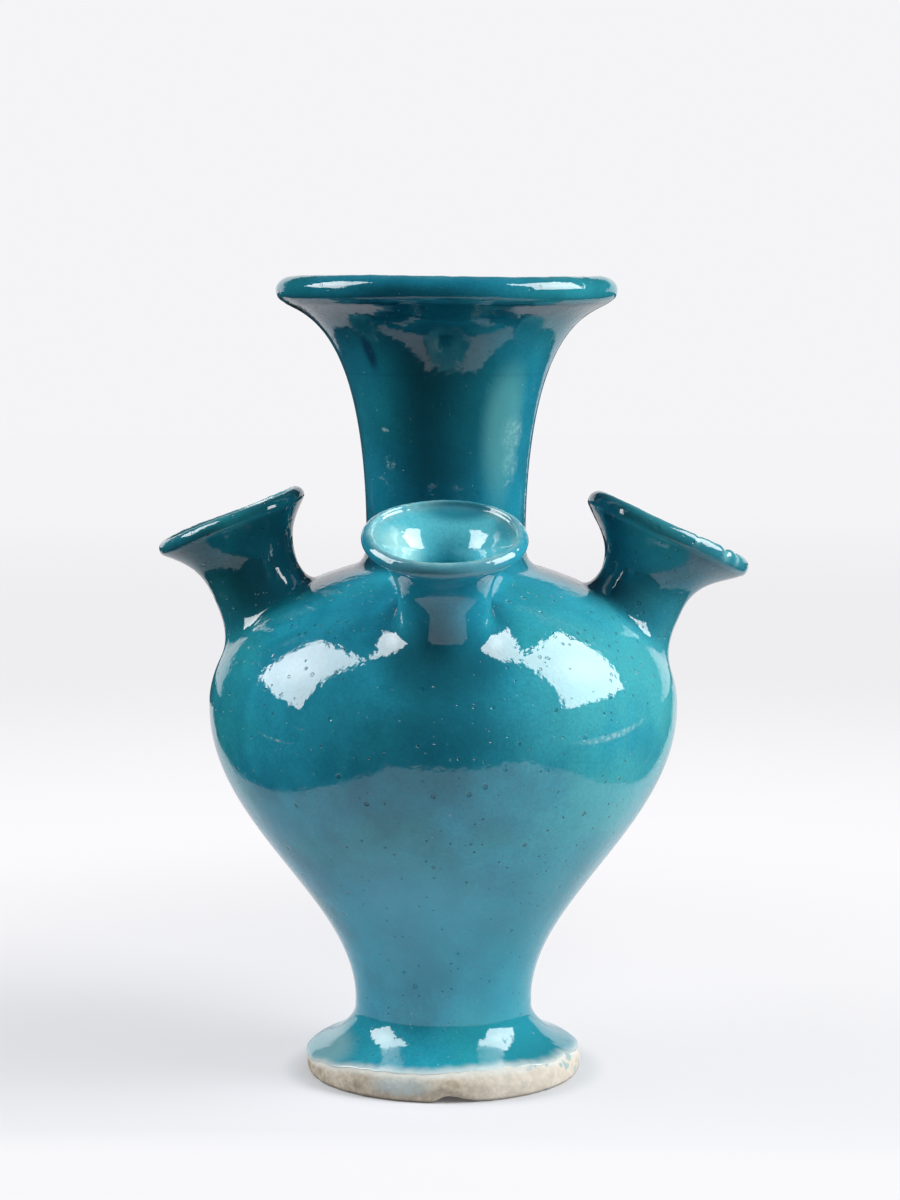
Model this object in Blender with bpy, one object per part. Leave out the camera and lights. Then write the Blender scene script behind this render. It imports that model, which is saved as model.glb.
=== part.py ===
"""Five-necked pottery vase: clay sections formed apart and luted together with slip.

Metres, +Z up. The vase stands on z = 0 with its axis on Z, and the front spout leans to -Y.
"""
import math
from typing import NamedTuple

import bmesh
import bpy
from mathutils import Matrix, Vector
from mathutils.geometry import interpolate_bezier

# Body: a domed shoulder on a lower body that narrows to the waist
BODY_RADIUS = 0.0733
BELLY_HEIGHT = 0.117
DOME_RISE = 0.0468
BELLY_FULLNESS = 0.0375
STEM_FULLNESS = 0.0305
BODY_WALL = 0.0052
WAIST_RADIUS = 0.0278
WAIST_HEIGHT = 0.021

# Foot: a flat disc that closes the stem, with a cushioned edge and a cove up to the waist
FOOT_RADIUS = 0.0437
FOOT_EDGE_HEIGHT = 0.0042
FOOT_UNDERCUT = 0.0019
FOOT_TOP_RADIUS = 0.037
FOOT_TOP_HEIGHT = 0.0102
FOOT_TOP_SLOPE = math.radians(24)
FOOT_COVE = 0.0075
FOOT_CUSHION = 0.0038
FLOOR_THICKNESS = 0.009
FLOOR_FILLET = 0.006

# How the pieces are luted: a layer of slip in each plain joint, a cove of slip in each corner
CLEARANCE = 0.0003
SLIP = 0.001
FEATHER_EDGE = 0.0005
NECK_COVE_RISE = 0.006
NECK_COVE_SPREAD = 0.005
SPOUT_COVE_RISE = 0.0045
SPOUT_COVE_SPREAD = 0.0046
TUBE_SPARE = 0.003

# Height of the mouth, and how far the neck leans to the right
VASE_HEIGHT = 0.250
NECK_LEAN = math.radians(0.8)

# Shares of a lip's width and height that give its rolled section
LIP_TUCK = 0.2
LIP_BULGE_DROP = 0.55
LIP_CREST = 0.62
LIP_DIP = 0.22
LIP_ROUND = 0.32

# Colours, as linear red, green and blue
BODY_TURQUOISE = (0.017, 0.215, 0.290)
NECK_TURQUOISE = (0.015, 0.180, 0.235)
SPOUT_TURQUOISE = (0.022, 0.230, 0.300)
FOOT_TURQUOISE = (0.030, 0.240, 0.310)
SLIP_TURQUOISE = (0.030, 0.250, 0.320)
GLAZE_ROUGHNESS = 0.08
FOOT_ROUGHNESS = 0.16

# Facets round each turned piece and along each curve
BODY_FACETS = 40
SPOUT_FACETS = 24
LONG_CURVE = 9
MID_CURVE = 7
SHORT_CURVE = 4
WELD = 1e-6


class Trumpet(NamedTuple):
    """A tube that opens into a rolled lip, in its own frame with its base at height 0."""
    tube_radius: float
    wall: float
    straight: float
    length: float
    mouth_radius: float
    lip_height: float
    lip_width: float
    flare_share: float
    lip_lead: float
    lip_slope: float


class Spout(NamedTuple):
    """Where a spout stands on the dome, and its trumpet."""
    name: str
    bearing: float
    seat: float
    tilt: float
    trumpet: Trumpet


def dome_height(radius):
    """Height of the shoulder's outside at a distance from the axis."""
    return BELLY_HEIGHT + DOME_RISE * math.sqrt(1 - (radius / BODY_RADIUS) ** 2)


NECK_RADIUS = 0.0248
NECK_SEAT = dome_height(NECK_RADIUS)
NECK_LIFT = CLEARANCE + NECK_RADIUS * math.sin(NECK_LEAN)
NECK = Trumpet(
    tube_radius=NECK_RADIUS,
    wall=0.0045,
    straight=NECK_COVE_RISE + TUBE_SPARE,
    length=VASE_HEIGHT - NECK_SEAT - NECK_LIFT,
    mouth_radius=0.0526,
    lip_height=0.0081,
    lip_width=0.0068,
    flare_share=0.68,
    lip_lead=0.0145,
    lip_slope=math.radians(12),
)


def spout_trumpet(tube_radius, mouth_radius, length):
    """The spouts share a wall, a lip and a flare, and differ in width and length."""
    return Trumpet(
        tube_radius=tube_radius,
        wall=0.004,
        straight=SPOUT_COVE_RISE + TUBE_SPARE,
        length=length,
        mouth_radius=mouth_radius,
        lip_height=0.0045,
        lip_width=0.004,
        flare_share=0.58,
        lip_lead=0.005,
        lip_slope=math.radians(42),
    )


SPOUTS = (
    Spout("front", math.radians(270.5), math.radians(40.9), math.radians(19.8),
          spout_trumpet(0.0135, 0.0244, 0.0306)),
    Spout("right", math.radians(0), math.radians(36.8), math.radians(25.0),
          spout_trumpet(0.0142, 0.0270, 0.0305)),
    Spout("back", math.radians(90), math.radians(40.0), math.radians(22.0),
          spout_trumpet(0.0137, 0.0248, 0.0300)),
    Spout("left", math.radians(180), math.radians(41.4), math.radians(22.0),
          spout_trumpet(0.0140, 0.0245, 0.0296)),
)


def glaze(name, colour, roughness):
    """A plain surface of one colour."""
    material = bpy.data.materials.new(name)
    material.use_nodes = True
    surface = material.node_tree.nodes["Principled BSDF"]
    surface.inputs["Base Color"].default_value = (*colour, 1.0)
    surface.inputs["Roughness"].default_value = roughness
    surface.inputs["Metallic"].default_value = 0.0
    material.diffuse_color = (*colour, 1.0)
    return material


def bend(start, lead, follow, end, steps):
    """Points of a curve from start to end, drawn towards lead and follow on the way."""
    return [tuple(point) for point in interpolate_bezier(
        Vector(start), Vector(lead), Vector(follow), Vector(end), steps)]


def turned(name, outline, facets, material, parent=None):
    """A body turned about its own Z axis from a (radius, height) outline."""
    shape = bmesh.new()
    corners = [shape.verts.new((radius, 0, height)) for radius, height in outline]
    edges = [shape.edges.new(pair) for pair in zip(corners, corners[1:])]
    if outline[0][0] > WELD:
        edges.append(shape.edges.new((corners[-1], corners[0])))
    bmesh.ops.spin(shape, geom=corners + edges, cent=(0, 0, 0), axis=(0, 0, 1),
                   angle=math.tau, steps=facets, use_merge=True)
    bmesh.ops.remove_doubles(shape, verts=shape.verts, dist=WELD)
    bmesh.ops.recalc_face_normals(shape, faces=shape.faces)
    mesh = bpy.data.meshes.new(name)
    shape.to_mesh(mesh)
    shape.free()
    mesh.materials.append(material)
    mesh.shade_smooth()
    piece = bpy.data.objects.new(name, mesh)
    bpy.context.collection.objects.link(piece)
    piece.parent = parent
    return piece


def trumpet_outline(shape):
    """Closed outline of a trumpet: up its outside, over the lip and down its bore."""
    rim = shape.mouth_radius
    under = (rim - LIP_TUCK * shape.lip_width, shape.length - shape.lip_height)
    bulge = (rim, shape.length - LIP_BULGE_DROP * shape.lip_height)
    crest = (rim - LIP_CREST * shape.lip_width, shape.length)
    inner = (rim - shape.lip_width, shape.length - LIP_DIP * shape.lip_height)
    bore = shape.tube_radius - shape.wall
    flare_lead = shape.flare_share * (under[1] - shape.straight)
    outside = bend(
        (shape.tube_radius, shape.straight),
        (shape.tube_radius, shape.straight + flare_lead),
        (under[0] - shape.lip_lead * math.cos(shape.lip_slope),
         under[1] - shape.lip_lead * math.sin(shape.lip_slope)),
        under, LONG_CURVE)
    cheek = bend(
        under,
        (rim, under[1]),
        (rim, under[1]),
        bulge, SHORT_CURVE)
    crown = bend(
        bulge,
        (rim, bulge[1] + LIP_ROUND * shape.lip_height),
        (crest[0] + LIP_ROUND * shape.lip_width, crest[1]),
        crest, SHORT_CURVE)
    inside = bend(
        inner,
        (inner[0] - shape.lip_lead * math.cos(shape.lip_slope),
         inner[1] - shape.lip_lead * math.sin(shape.lip_slope)),
        (bore, shape.straight + flare_lead),
        (bore, shape.straight), MID_CURVE)
    return ([(shape.tube_radius, 0)] + outside + cheek[1:] + crown[1:] + inside + [(bore, 0)])


def spout_frame(spout):
    """Placement of a spout: on the dome at its bearing, leaning outwards by its tilt."""
    seat = Vector((BODY_RADIUS * math.cos(spout.seat), 0,
                   BELLY_HEIGHT + DOME_RISE * math.sin(spout.seat)))
    return (Matrix.Rotation(spout.bearing, 4, "Z") @ Matrix.Translation(seat)
            @ Matrix.Rotation(spout.tilt, 4, "Y"))


def dome_drop(frame, across, along):
    """Height at which a line parallel to a spout's axis meets the dome, CLEARANCE above it."""
    axis = frame.to_3x3() @ Vector((0, 0, 1))
    start = frame @ Vector((across, along, 0)) - Vector((0, 0, BELLY_HEIGHT))
    shrink = Matrix.Diagonal((1 / (BODY_RADIUS + CLEARANCE), 1 / (BODY_RADIUS + CLEARANCE),
                              1 / (DOME_RISE + CLEARANCE)))
    axis = shrink @ axis
    start = shrink @ start
    square = axis.dot(axis)
    middle = axis.dot(start) / square
    return math.sqrt(middle ** 2 - (start.dot(start) - 1) / square) - middle


def drape(piece, frame, below):
    """Lower the part of a piece under a height so that it follows the dome."""
    for corner in piece.data.vertices:
        if corner.co.z < below:
            corner.co.z += dome_drop(frame, corner.co.x, corner.co.y)


def make_foot(material):
    top = WAIST_HEIGHT - SLIP / 2 - CLEARANCE
    bore = WAIST_RADIUS - BODY_WALL
    crest = (FOOT_TOP_RADIUS, FOOT_TOP_HEIGHT)
    along = (math.cos(FOOT_TOP_SLOPE), -math.sin(FOOT_TOP_SLOPE))
    edge = (FOOT_RADIUS, FOOT_EDGE_HEIGHT)
    tread = (FOOT_RADIUS - FOOT_UNDERCUT, 0)
    fillet_top = (bore, FLOOR_THICKNESS + FLOOR_FILLET)
    fillet_end = (bore - FLOOR_FILLET, FLOOR_THICKNESS)
    cove = bend(
        (WAIST_RADIUS, top),
        (WAIST_RADIUS, top - FOOT_COVE),
        (crest[0] - FOOT_COVE * along[0], crest[1] - FOOT_COVE * along[1]),
        crest, MID_CURVE)
    cushion = bend(
        crest,
        (crest[0] + FOOT_CUSHION * along[0], crest[1] + FOOT_CUSHION * along[1]),
        (edge[0], edge[1] + FOOT_CUSHION),
        edge, SHORT_CURVE)
    heel = bend(
        edge,
        (edge[0], edge[1] / 2),
        (tread[0] + FOOT_UNDERCUT / 2, 0),
        tread, SHORT_CURVE)
    fillet = bend(
        fillet_end,
        (bore, FLOOR_THICKNESS),
        (bore, FLOOR_THICKNESS),
        fillet_top, SHORT_CURVE)
    outline = ([(0, FLOOR_THICKNESS)] + fillet + [(bore, top)]
               + cove + cushion[1:] + heel[1:] + [(0, 0)])
    turned("foot", outline, BODY_FACETS, material)


def stem_curve(inset, top, bottom):
    """The lower body's face, from belly to waist, moved inwards by inset."""
    belly = BODY_RADIUS - inset
    waist = WAIST_RADIUS - inset
    return bend(
        (belly, top),
        (belly, top - BELLY_FULLNESS),
        (waist, bottom + STEM_FULLNESS),
        (waist, bottom), LONG_CURVE)


def make_lower_body(material):
    top = BELLY_HEIGHT - SLIP / 2 - CLEARANCE
    bottom = WAIST_HEIGHT + SLIP / 2 + CLEARANCE
    outside = stem_curve(0, top, bottom)
    inside = stem_curve(BODY_WALL, top, bottom)
    turned("lower_body", outside + inside[::-1], BODY_FACETS, material)


def dome_curve(inset, lowest, narrowest, steps):
    """The shoulder's face, from its lower edge up to a radius, moved inwards by inset."""
    across = BODY_RADIUS - inset
    rise = DOME_RISE - inset
    start = math.asin(lowest / rise)
    turn = math.acos(narrowest / across) - start
    angles = [start + turn * step / (steps - 1) for step in range(steps)]
    return [(across * math.cos(angle), BELLY_HEIGHT + rise * math.sin(angle)) for angle in angles]


def make_shoulder(material, frames):
    lowest = SLIP / 2 + CLEARANCE
    neck_bore = NECK_RADIUS - NECK.wall
    outside = dome_curve(0, lowest, NECK_RADIUS, LONG_CURVE)
    inside = dome_curve(BODY_WALL, lowest, neck_bore, MID_CURVE)
    shoulder = turned("shoulder", outside + [(neck_bore, NECK_SEAT)] + inside[::-1],
                      BODY_FACETS, material)
    for spout, frame in zip(SPOUTS, frames):
        bore = spout.trumpet.tube_radius - spout.trumpet.wall
        reach = 3 * BODY_WALL
        cutter = turned(spout.name + "_bore_cutter",
                        [(0, -reach), (bore, -reach), (bore, reach), (0, reach)],
                        SPOUT_FACETS, material, frame)
        cutter.hide_render = True
        cutter.display_type = "WIRE"
        cut = shoulder.modifiers.new(spout.name + "_bore", "BOOLEAN")
        cut.operation = "DIFFERENCE"
        cut.solver = "EXACT"
        cut.object = cutter


def make_seam(name, height, radius, material):
    """A layer of slip between two plain edges of the body wall."""
    low = height - SLIP / 2
    high = height + SLIP / 2
    bore = radius - BODY_WALL
    turned(name, [(radius, low), (radius, high), (bore, high), (bore, low)],
           BODY_FACETS, material)


def make_neck(material):
    neck = turned("neck", trumpet_outline(NECK), BODY_FACETS, material)
    neck.location = (0, 0, NECK_SEAT + NECK_LIFT)
    neck.rotation_euler = (0, NECK_LEAN, 0)


def cove_outline(inner, rise, spread):
    """Section of slip in a corner, in heights above the face it lies on."""
    top = (inner + FEATHER_EDGE, rise)
    toe = (inner + spread, FEATHER_EDGE)
    hollow = bend(
        top,
        (inner + FEATHER_EDGE, rise / 3),
        (inner + spread / 3, FEATHER_EDGE),
        toe, SHORT_CURVE)
    return [(inner, 0), (inner, rise)] + hollow + [(inner + spread, 0)]


def make_neck_seam(material):
    """Slip in the corner between neck and shoulder."""
    section = cove_outline(NECK_RADIUS + CLEARANCE, NECK_COVE_RISE, NECK_COVE_SPREAD)
    outline = [(radius, height + dome_height(radius) + CLEARANCE) for radius, height in section]
    turned("neck_seam", outline, BODY_FACETS, material)


def make_spout(spout, frame, clay, slip):
    """A spout trimmed to the dome, and the slip in the corner round its base."""
    placement = spout_frame(spout)
    piece = turned("spout_" + spout.name, trumpet_outline(spout.trumpet), SPOUT_FACETS, clay, frame)
    drape(piece, placement, WELD)
    section = cove_outline(spout.trumpet.tube_radius + CLEARANCE, SPOUT_COVE_RISE,
                           SPOUT_COVE_SPREAD)
    cove = turned("spout_" + spout.name + "_seam", section, SPOUT_FACETS, slip, frame)
    drape(cove, placement, SPOUT_COVE_RISE * 2)


def main():
    for item in list(bpy.data.objects):
        bpy.data.objects.remove(item)
    frames = []
    for spout in SPOUTS:
        frame = bpy.data.objects.new("spout_" + spout.name + "_frame", None)
        frame.matrix_world = spout_frame(spout)
        bpy.context.collection.objects.link(frame)
        frames.append(frame)
    make_foot(glaze("foot", FOOT_TURQUOISE, FOOT_ROUGHNESS))
    make_seam("foot_seam", WAIST_HEIGHT, WAIST_RADIUS,
              glaze("foot_seam", SLIP_TURQUOISE, GLAZE_ROUGHNESS))
    make_lower_body(glaze("lower_body", BODY_TURQUOISE, GLAZE_ROUGHNESS))
    make_seam("body_seam", BELLY_HEIGHT, BODY_RADIUS,
              glaze("body_seam", SLIP_TURQUOISE, GLAZE_ROUGHNESS))
    make_shoulder(glaze("shoulder", BODY_TURQUOISE, GLAZE_ROUGHNESS), frames)
    make_neck(glaze("neck", NECK_TURQUOISE, GLAZE_ROUGHNESS))
    make_neck_seam(glaze("neck_seam", SLIP_TURQUOISE, GLAZE_ROUGHNESS))
    for spout, frame in zip(SPOUTS, frames):
        make_spout(spout, frame,
                   glaze("spout_" + spout.name, SPOUT_TURQUOISE, GLAZE_ROUGHNESS),
                   glaze("spout_" + spout.name + "_seam", SLIP_TURQUOISE, GLAZE_ROUGHNESS))


main()
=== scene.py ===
"""Looks of the turquoise vase: glazed clay, bare clay at the foot, and a table under studio light.

Metres, +Z up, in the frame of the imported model. The front spout leans to -Y, towards the camera.
"""
import math
from math import radians
from typing import NamedTuple

import bmesh
import bpy
from mathutils import Matrix, Vector, noise
from mathutils.geometry import interpolate_bezier


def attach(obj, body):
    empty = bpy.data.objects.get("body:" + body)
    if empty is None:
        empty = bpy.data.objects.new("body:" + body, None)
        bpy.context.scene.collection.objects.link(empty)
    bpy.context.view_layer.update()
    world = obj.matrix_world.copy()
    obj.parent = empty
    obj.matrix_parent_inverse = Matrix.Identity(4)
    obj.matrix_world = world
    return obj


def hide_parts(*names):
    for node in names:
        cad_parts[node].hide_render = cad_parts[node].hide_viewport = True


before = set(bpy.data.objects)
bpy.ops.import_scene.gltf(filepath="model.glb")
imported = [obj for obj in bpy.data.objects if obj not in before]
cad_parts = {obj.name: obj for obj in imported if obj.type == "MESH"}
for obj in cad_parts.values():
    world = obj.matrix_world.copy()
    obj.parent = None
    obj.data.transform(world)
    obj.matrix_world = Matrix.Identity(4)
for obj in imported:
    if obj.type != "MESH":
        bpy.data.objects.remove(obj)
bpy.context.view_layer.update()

# Body, foot and neck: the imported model's dimensions, a few of them refined
BODY_RADIUS = 0.0733
BELLY_HEIGHT = 0.117
DOME_RISE = 0.0468
BELLY_FULLNESS = 0.0366
STEM_FULLNESS = 0.0325
BODY_WALL = 0.0052
WAIST_RADIUS = 0.0279
WAIST_HEIGHT = 0.021
WAIST_SPLAY = radians(1.5)
FOOT_RADIUS = 0.0437
FOOT_EDGE_HEIGHT = 0.0042
FOOT_UNDERCUT = 0.0011
FOOT_TOP_RADIUS = 0.037
FOOT_TOP_HEIGHT = 0.0102
FOOT_TOP_SLOPE = radians(24)
FOOT_COVE_TOP = 0.0030
FOOT_COVE_OUT = 0.0060
FOOT_CUSHION = 0.0038
FLOOR_THICKNESS = 0.009
FLOOR_FILLET = 0.006
UNDERSIDE_RINGS = (0.0410, 0.0400, 0.0388, 0.0374, 0.0358, 0.0335, 0.025, 0.012, 0)
HALF_JOINT = 0.0008
NECK_RADIUS = 0.0248
NECK_LEAN = radians(0.2)
NECK_ASIDE = 0.0008
NECK_GAP = 0.0003
VASE_HEIGHT = 0.250

# Section of a rolled lip: shares of its width and height, and how full its curves are
LIP_NOSE = 0.5
LIP_CREST = 0.68
LIP_DIP = 0.3
CHEEK_FULLNESS = 0.45
CROWN_FULLNESS = 0.5
OVER_FULLNESS = 0.4
LIP_WOBBLE = 0.00012
WOBBLE_FINENESS = (5, 14)
LIFT_WAVES = 3
SWAY_WAVES = 2

# How the glaze lies on a trumpet: worn on the lip, and darkened below it with painted shade under
# the lip
UNDER_WORN = 0.2
UNDER_WORN_FADE = 0.04
CROWN_WORN_FROM = 0.35
BOWL_WORN = 0.7
UNDER_LIP_SHADE_RANGE = (0.45, 0.9)
UNDER_LIP_SHADE = 0.5

# How slip lies in a cove, darkened by pooled glaze and painted shade in its crevice
COVE_HOLLOW = 0.33
COVE_DOWNHILL = 1.5
COVE_LESS_SHADE_DOWNHILL = 0.8
COVE_JOIN = 0.8

# How finely pieces are turned and their curves stepped
BODY_SEGMENTS = 192
FOOT_SEGMENTS = 420
SPOUT_SEGMENTS = 240
FLARE_STEPS = 44
LIP_STEPS = 12
OVER_STEPS = 8
BOWL_STEPS = 48
COVE_STEPS = 20
FILLET_STEPS = 8
WAIST_STEPS = 32
CUSHION_STEPS = 44
HEEL_STEPS = 26
BODY_STEPS = 96
DOME_STEPS = 80
INSIDE_STEPS = 40
WELD = 1e-7
CREASE = radians(60)
BORE_CUT = 3 * BODY_WALL

# Edges across which the glaze runs on, and the facing that leaves a corner as it is shaded
NO_EDGE, TOP_EDGE, TOE_EDGE = 0, 1, 2
AS_SHADED = Vector((0, 0, 0))


class Row(NamedTuple):
    """A ring of a turned form: how thin its glaze is, if it lies inside, its pooled glaze and
    painted shade, and how it joins.
    """
    radius: float
    height: float
    thin: float = 0.0
    inside: float = 0.0
    pool: float = 0.0
    join: float = 0.0
    edge: int = NO_EDGE


class Trumpet(NamedTuple):
    """A tube that opens into a rolled lip, in its own frame with its base at height 0."""
    tube_radius: float
    wall: float
    straight: float     # height at which the flare starts
    length: float
    mouth_radius: float
    lip_height: float
    lip_width: float
    lip_tuck: float     # how far the lip is tucked in below, as a share of its width
    lip_kink: float     # how much flatter than the flare the lip sets out
    flare_share: float  # how long the flare stays upright, as a share of its height
    flare_lead: float
    flare_slope: float
    bowl_lead: float
    bowl_slope: float
    throat: float       # height at which the bowl ends in the bore
    throat_lead: float
    worn: float         # how thin the glaze is on the lip
    pool: float         # how much painted shade darkens it below the lip


class Cove(NamedTuple):
    """Slip in a corner: its rise on the tube, spread on the dome, and growth on the low side."""
    rise: float
    spread: float
    low_side: float = 1.0


class Stray(NamedTuple):
    """How a rim strays from a flat circle: aside, upwards, and where round it that starts."""
    sway: float
    lift: float
    phase: float


class Chip(NamedTuple):
    """A chip in a rim."""
    bearing: float
    width: float
    depth: float


class Spout(NamedTuple):
    """Where a spout stands on the dome, its trumpet, and how its rim strays and is chipped."""
    name: str
    bearing: float
    seat: float
    tilt: float
    sway: float
    trumpet: Trumpet
    cove: Cove
    stray: Stray
    chips: tuple = ()


def spout_trumpet(tube_radius, mouth_radius, length, lip_height, lip_tuck, worn):
    """The side and back spouts share their wall, flare and bowl."""
    return Trumpet(
        tube_radius=tube_radius, wall=0.004, straight=0.0075, length=length,
        mouth_radius=mouth_radius, lip_height=lip_height, lip_width=0.0036,
        lip_tuck=lip_tuck, lip_kink=radians(5),
        flare_share=0.58, flare_lead=0.006, flare_slope=radians(44),
        bowl_lead=0.007, bowl_slope=radians(60), throat=0.009, throat_lead=0.005,
        worn=worn, pool=0.45)


FRONT_TRUMPET = Trumpet(
    tube_radius=0.0138, wall=0.0043, straight=0.010, length=0.0306,
    mouth_radius=0.0244, lip_height=0.0046, lip_width=0.0036,
    lip_tuck=0.5, lip_kink=radians(15),
    flare_share=0.45, flare_lead=0.005, flare_slope=radians(36),
    bowl_lead=0.0055, bowl_slope=radians(30), throat=0.0165, throat_lead=0.0075,
    worn=1.0, pool=0.2)
SPOUT_COVE = Cove(0.0090, 0.0048, 1.15)
SPOUTS = (
    Spout("front", bearing=radians(270.5), seat=radians(40.9),
          tilt=radians(19.8), sway=0.0, trumpet=FRONT_TRUMPET,
          cove=Cove(0.0045, 0.0080, 1.7), stray=Stray(0.0003, 0.0002, 0.4)),
    Spout("right", bearing=radians(0), seat=radians(36.8),
          tilt=radians(25.0), sway=radians(-4.0),
          trumpet=spout_trumpet(0.0142, 0.0270, 0.0305, 0.0056, 0.36, 1.0),
          cove=SPOUT_COVE, stray=Stray(0.0003, 0.0003, 1.9),
          chips=(Chip(radians(-50), 0.0016, 0.0009),
                 Chip(radians(-38), 0.0011, 0.0005),
                 Chip(radians(-75), 0.0009, 0.0004))),
    Spout("back", bearing=radians(90), seat=radians(40.0),
          tilt=radians(22.0), sway=0.0,
          trumpet=spout_trumpet(0.0137, 0.0248, 0.0300, 0.0045, 0.30, 0.7),
          cove=SPOUT_COVE, stray=Stray(0.0004, 0.0002, 2.7)),
    Spout("left", bearing=radians(180), seat=radians(40.9),
          tilt=radians(22.0), sway=radians(1.4),
          trumpet=spout_trumpet(0.0142, 0.0245, 0.0310, 0.0046, 0.30, 0.5),
          cove=SPOUT_COVE, stray=Stray(0.0003, 0.0003, 5.1)),
)


def dome_height(radius):
    """Height of the shoulder's outside at a distance from the axis."""
    return BELLY_HEIGHT + DOME_RISE * math.sqrt(1 - (radius / BODY_RADIUS) ** 2)


NECK_SEAT = dome_height(NECK_RADIUS)
NECK_LIFT = NECK_GAP + NECK_RADIUS * math.sin(NECK_LEAN)
NECK = Trumpet(
    tube_radius=NECK_RADIUS, wall=0.0042, straight=0.006,
    length=VASE_HEIGHT - NECK_SEAT - NECK_LIFT,
    mouth_radius=0.0526, lip_height=0.0080, lip_width=0.0068,
    lip_tuck=0.36, lip_kink=radians(10),
    flare_share=0.95, flare_lead=0.0056, flare_slope=radians(41),
    bowl_lead=0.012, bowl_slope=radians(36), throat=0.009, throat_lead=0.055,
    worn=0.35, pool=0.75)
NECK_FRAME = (Matrix.Translation((NECK_ASIDE, 0, NECK_SEAT + NECK_LIFT))
              @ Matrix.Rotation(NECK_LEAN, 4, "Y"))
NECK_COVE = Cove(0.006, 0.005)
NECK_STRAY = Stray(0.0003, 0.0002, 1.0)


def bend(start, lead, follow, end, steps):
    """Points of a curve from start to end, drawn towards lead and follow on the way."""
    return [tuple(point) for point in interpolate_bezier(
        Vector(start), Vector(lead), Vector(follow), Vector(end), steps)]


def ease(low, high, value):
    """0 below low, 1 above high, and a smooth step between."""
    share = min(1.0, max(0.0, (value - low) / (high - low)))
    return share * share * (3 - 2 * share)


def heading(angle):
    return Vector((math.cos(angle), math.sin(angle)))


def side_reach(place):
    return math.hypot(place.x, place.y)


def rows_of(points, **laid):
    return [Row(*point, **laid) for point in points]


def edged(points, first, last=NO_EDGE):
    """Rows of an outside whose first and last rings may be edges that the glaze runs across."""
    return [Row(*points[0], edge=first)] + rows_of(points[1:-1]) + [Row(*points[-1], edge=last)]


def turned(rows, segments):
    """A closed form turned about Z from its section."""
    shape = bmesh.new()
    layers = {name: shape.verts.layers.float.new(name)
              for name in ("thin", "inside", "pool", "join")}
    edge = shape.verts.layers.int.new("edge")
    corners = []
    for row in rows:
        corner = shape.verts.new((row.radius, 0, row.height))
        for name, layer in layers.items():
            corner[layer] = getattr(row, name)
        corner[edge] = row.edge
        corners.append(corner)
    edges = [shape.edges.new(pair) for pair in zip(corners, corners[1:])]
    if rows[0].radius > WELD:
        edges.append(shape.edges.new((corners[-1], corners[0])))
    bmesh.ops.spin(shape, geom=corners + edges, cent=(0, 0, 0), axis=(0, 0, 1),
                   angle=math.tau, steps=segments, use_merge=True)
    bmesh.ops.remove_doubles(shape, verts=shape.verts, dist=WELD)
    bmesh.ops.recalc_face_normals(shape, faces=shape.faces)
    return shape


def mesh_of(name, shape):
    mesh = bpy.data.meshes.new(name)
    shape.to_mesh(mesh)
    shape.free()
    return mesh


def put(name, data):
    """An object of a mesh, lamp or camera, put into the scene."""
    made = bpy.data.objects.new(name, data)
    bpy.context.scene.collection.objects.link(made)
    return made


def finished(name, shape, material, run_on=None):
    """Make a piece of a shape.

    run_on gives the way the glaze faces where it runs on across a joint.
    """
    mesh = mesh_of(name, shape)
    mesh.shade_smooth()
    mesh.set_sharp_from_angle(angle=CREASE)
    edges = mesh.attributes["edge"]
    if run_on:
        facing = [AS_SHADED] * len(mesh.vertices)
        for index, corner in enumerate(mesh.vertices):
            edge = edges.data[index].value
            if edge != NO_EDGE:
                facing[index] = run_on(corner.co, edge)
        mesh.normals_split_custom_set_from_vertices(facing)
    mesh.attributes.remove(mesh.attributes["edge"])
    mesh.materials.append(material)
    piece = put(name, mesh)
    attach(piece, "root")
    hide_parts(name)
    return piece


def dome_facing(place):
    """The way the shoulder's outside faces at a place on it."""
    return Vector((place.x / BODY_RADIUS ** 2, place.y / BODY_RADIUS ** 2,
                   (place.z - BELLY_HEIGHT) / DOME_RISE ** 2)).normalized()


def side_facing(place):
    return Vector((place.x, place.y, 0)).normalized()


def waist_facing(place):
    """The way the waist faces, where the stem already spreads towards the foot."""
    return side_facing(place) * math.cos(WAIST_SPLAY) + Vector((0, 0, math.sin(WAIST_SPLAY)))


def waist_reach(height):
    return WAIST_RADIUS + (WAIST_HEIGHT - height) * math.tan(WAIST_SPLAY)


def dome_drop(placement, across, along):
    """Height at which a line parallel to a trumpet's axis meets the dome."""
    shrink = Matrix.Diagonal((1 / BODY_RADIUS, 1 / BODY_RADIUS, 1 / DOME_RISE))
    axis = shrink @ (placement.to_3x3() @ Vector((0, 0, 1)))
    start = shrink @ (placement @ Vector((across, along, 0)) - Vector((0, 0, BELLY_HEIGHT)))
    square = axis.dot(axis)
    middle = axis.dot(start) / square
    return math.sqrt(middle ** 2 - (start.dot(start) - 1) / square) - middle


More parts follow.
